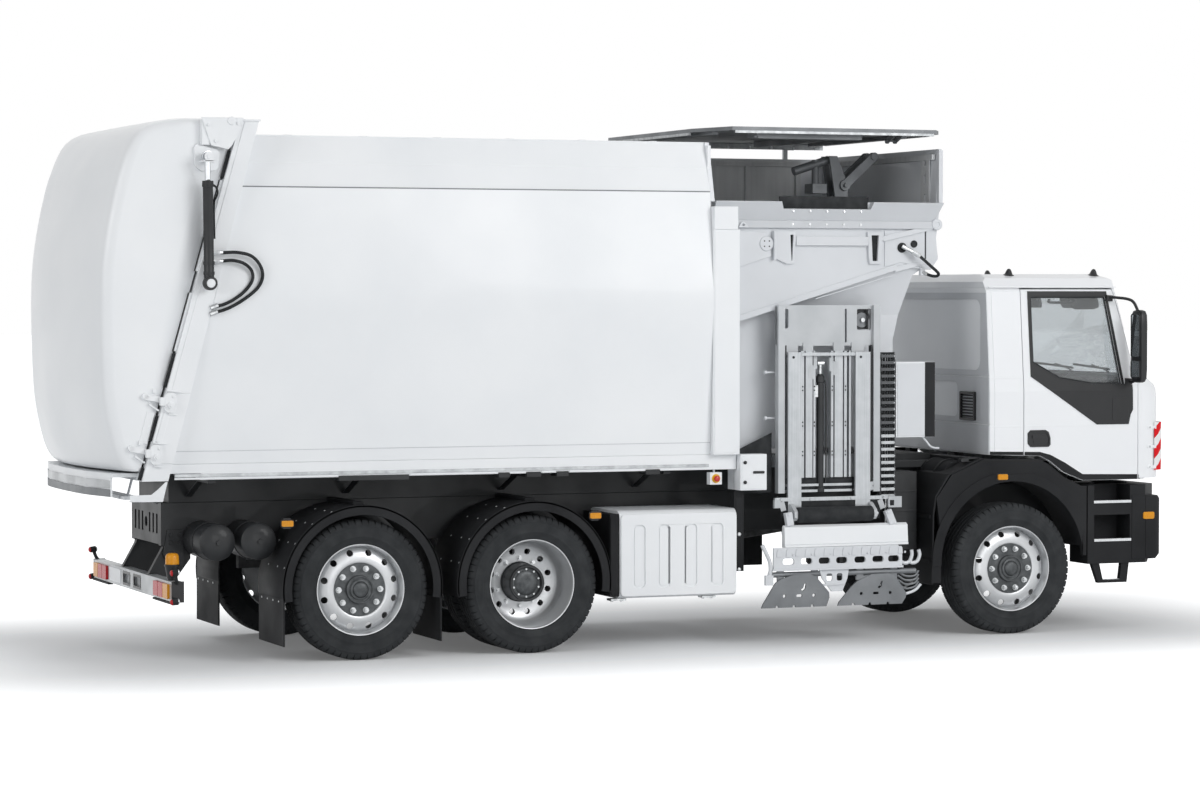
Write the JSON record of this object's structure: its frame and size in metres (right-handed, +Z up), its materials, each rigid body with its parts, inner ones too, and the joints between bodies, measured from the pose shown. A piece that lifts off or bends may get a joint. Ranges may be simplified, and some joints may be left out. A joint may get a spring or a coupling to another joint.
{
  "type": "side-loading garbage truck",
  "caption": "Three-axle side-loading garbage truck with opening tailgate, hopper lid, tilting cab and a side bin lifter that reaches, lifts and tips.",
  "frame": {"origin": "on the ground under the centre of the bounding box", "axes": "+X forward, +Y to the vehicle's left, +Z up"},
  "size_m": [9.221, 2.92, 4.115],
  "materials": {
    "white_paint": "gloss",
    "cab_paint": "gloss",
    "chassis_paint": "satin",
    "engine_iron": "rough",
    "moulded_black": "matte",
    "tank_alloy": "brushed",
    "underrun_steel": "satin",
    "lifter_steel": "satin",
    "lid_steel": "satin",
    "wheel_and_tyre": "matte",
    "cylinder_black": "gloss",
    "rod_chrome": "polished",
    "cab_glass": "clear",
    "cab_floor_rubber": "matte",
    "seat_fabric": "woven",
    "cabin_plastic": "matte"
  },
  "bodies": {
    "root": {"frame_rails": "chassis_paint", "front_axle": "chassis_paint", "rear_axles": "chassis_paint", "engine": "engine_iron", "driveline": "chassis_paint", "air_tanks": "chassis_paint", "side_locker": "white_paint", "fuel_tank": "tank_alloy", "battery_box": "moulded_black", "rear_mudguards": "moulded_black", "rear_underrun": "underrun_steel", "front_wings": "moulded_black", "front_bumper": "moulded_black", "body_subframe": "chassis_paint", "body_floor": "white_paint", "body_side_left": "white_paint", "body_side_right": "white_paint", "body_roof": "white_paint", "body_front_frame": "white_paint", "rear_frame": "white_paint", "hopper_side_left": "white_paint", "hopper_side_right": "white_paint", "hopper_end_wall": "white_paint", "hopper_floor": "white_paint", "control_boxes": "white_paint", "lifter_guides": "chassis_paint"},
    "steering_knuckle_left": {"steering_knuckle_left": "chassis_paint"},
    "steering_knuckle_right": {"steering_knuckle_right": "chassis_paint"},
    "front_wheel_left": {"front_wheel_left": "wheel_and_tyre"},
    "front_wheel_right": {"front_wheel_right": "wheel_and_tyre"},
    "drive_wheels_left": {"drive_wheels_left": "wheel_and_tyre"},
    "drive_wheels_right": {"drive_wheels_right": "wheel_and_tyre"},
    "tag_wheel_left": {"tag_wheel_left": "wheel_and_tyre"},
    "tag_wheel_right": {"tag_wheel_right": "wheel_and_tyre"},
    "cab": {"cab_floor": "cab_floor_rubber", "cab_rear_wall": "cab_paint", "cab_roof": "cab_paint", "cab_front": "cab_paint", "cab_sides": "cab_paint", "windscreen": "cab_glass", "seats": "seat_fabric", "dashboard": "cabin_plastic", "steering_wheel": "cabin_plastic"},
    "door_left": {"door_left": "cab_paint", "door_glass_left": "cab_glass", "mirror_left": "moulded_black"},
    "door_right": {"door_right": "cab_paint", "door_glass_right": "cab_glass", "mirror_right": "moulded_black"},
    "tailgate": {"tailgate_skin": "white_paint", "tailgate_cheeks": "white_paint"},
    "gate_cylinder_left": {"gate_cylinder_left": "cylinder_black"},
    "gate_cylinder_right": {"gate_cylinder_right": "cylinder_black"},
    "gate_rod_left": {"gate_rod_left": "rod_chrome"},
    "gate_rod_right": {"gate_rod_right": "rod_chrome"},
    "hopper_lid": {"hopper_lid": "lid_steel"},
    "lifter_mast": {"lifter_mast": "lifter_steel", "cable_chain": "moulded_black"},
    "lifter_carriage": {"lifter_carriage": "lifter_steel"},
    "lifter_head": {"lifter_head": "lifter_steel"}
  },
  "joints": [
    {"name": "steer_left", "type": "hinge", "parent": "root", "child": "steering_knuckle_left", "pos_m": [3.1495, 0.95, 0.538], "axis": [0, 0, 1], "range_deg": [-38, 38]},
    {"name": "steer_right", "type": "hinge", "parent": "root", "child": "steering_knuckle_right", "pos_m": [3.1495, -0.95, 0.538], "axis": [0, 0, 1], "range_deg": [-38, 38]},
    {"name": "front_wheel_left_spin", "type": "hinge", "parent": "steering_knuckle_left", "child": "front_wheel_left", "pos_m": [3.1495, 1.0425, 0.538], "axis": [0, 1, 0], "continuous": true},
    {"name": "drive_wheels_left_spin", "type": "hinge", "parent": "root", "child": "drive_wheels_left", "pos_m": [-1.0505, 1.0425, 0.538], "axis": [0, 1, 0], "continuous": true},
    {"name": "tag_wheel_left_spin", "type": "hinge", "parent": "root", "child": "tag_wheel_left", "pos_m": [-2.4455, 1.0425, 0.538], "axis": [0, 1, 0], "continuous": true},
    {"name": "front_wheel_right_spin", "type": "hinge", "parent": "steering_knuckle_right", "child": "front_wheel_right", "pos_m": [3.1495, -1.0425, 0.538], "axis": [0, 1, 0], "continuous": true},
    {"name": "drive_wheels_right_spin", "type": "hinge", "parent": "root", "child": "drive_wheels_right", "pos_m": [-1.0505, -1.0425, 0.538], "axis": [0, 1, 0], "continuous": true},
    {"name": "tag_wheel_right_spin", "type": "hinge", "parent": "root", "child": "tag_wheel_right", "pos_m": [-2.4455, -1.0425, 0.538], "axis": [0, 1, 0], "continuous": true},
    {"name": "cab_tilt", "type": "hinge", "parent": "root", "child": "cab", "pos_m": [4.5145, 0, 1.2275], "axis": [0, 1, 0], "range_deg": [0, 50]},
    {"name": "door_left_hinge", "type": "hinge", "parent": "cab", "child": "door_left", "pos_m": [4.3215, 1.2, 1.79], "axis": [0, 0, -1], "range_deg": [0, 75]},
    {"name": "door_right_hinge", "type": "hinge", "parent": "cab", "child": "door_right", "pos_m": [4.3215, -1.2, 1.79], "axis": [0, 0, 1], "range_deg": [0, 75]},
    {"name": "tailgate_hinge", "type": "hinge", "parent": "root", "child": "tailgate", "pos_m": [-3.4755, 0, 4.08], "axis": [0, 1, 0], "range_deg": [0, 90]},
    {"name": "gate_cylinder_left_swing", "type": "hinge", "parent": "root", "child": "gate_cylinder_left", "pos_m": [-3.6655, 1.318, 2.87], "axis": [0, 1, 0], "range_deg": [-2.94, 0.2]},
    {"name": "gate_rod_left_slide", "type": "slide", "parent": "gate_cylinder_left", "child": "gate_rod_left", "axis": [-0.0106, 0, 0.9999], "range_m": [0, 0.4742]},
    {"name": "gate_cylinder_right_swing", "type": "hinge", "parent": "root", "child": "gate_cylinder_right", "pos_m": [-3.6655, -1.318, 2.87], "axis": [0, 1, 0], "range_deg": [-2.94, 0.2]},
    {"name": "gate_rod_right_slide", "type": "slide", "parent": "gate_cylinder_right", "child": "gate_rod_right", "axis": [-0.0106, 0, 0.9999], "range_m": [0, 0.4742]},
    {"name": "lid_hinge", "type": "hinge", "parent": "root", "child": "hopper_lid", "pos_m": [3.1495, 1.1, 4.06], "axis": [-1, 0, 0], "range_deg": [-3, 70]},
    {"name": "lifter_reach", "type": "slide", "parent": "root", "child": "lifter_mast", "axis": [0, -1, 0], "range_m": [0, 1.2]},
    {"name": "lifter_lift", "type": "slide", "parent": "lifter_mast", "child": "lifter_carriage", "axis": [0, 0, 1], "range_m": [0, 1.85]},
    {"name": "lifter_tilt", "type": "hinge", "parent": "lifter_carriage", "child": "lifter_head", "pos_m": [1.4845, -1.296, 1.03], "axis": [-1, 0, 0], "range_deg": [0, 120]}
  ],
  "couplings": [
    {"joint": "steer_left", "follows": "steer_right", "ratio": 1},
    {"joint": "gate_cylinder_left_swing", "follows": "tailgate_hinge", "ratio": -0.029309},
    {"joint": "gate_rod_left_slide", "follows": "tailgate_hinge", "m_per_rad": 0.30062},
    {"joint": "gate_cylinder_right_swing", "follows": "tailgate_hinge", "ratio": -0.029309},
    {"joint": "gate_rod_right_slide", "follows": "tailgate_hinge", "m_per_rad": 0.30062}
  ]
}
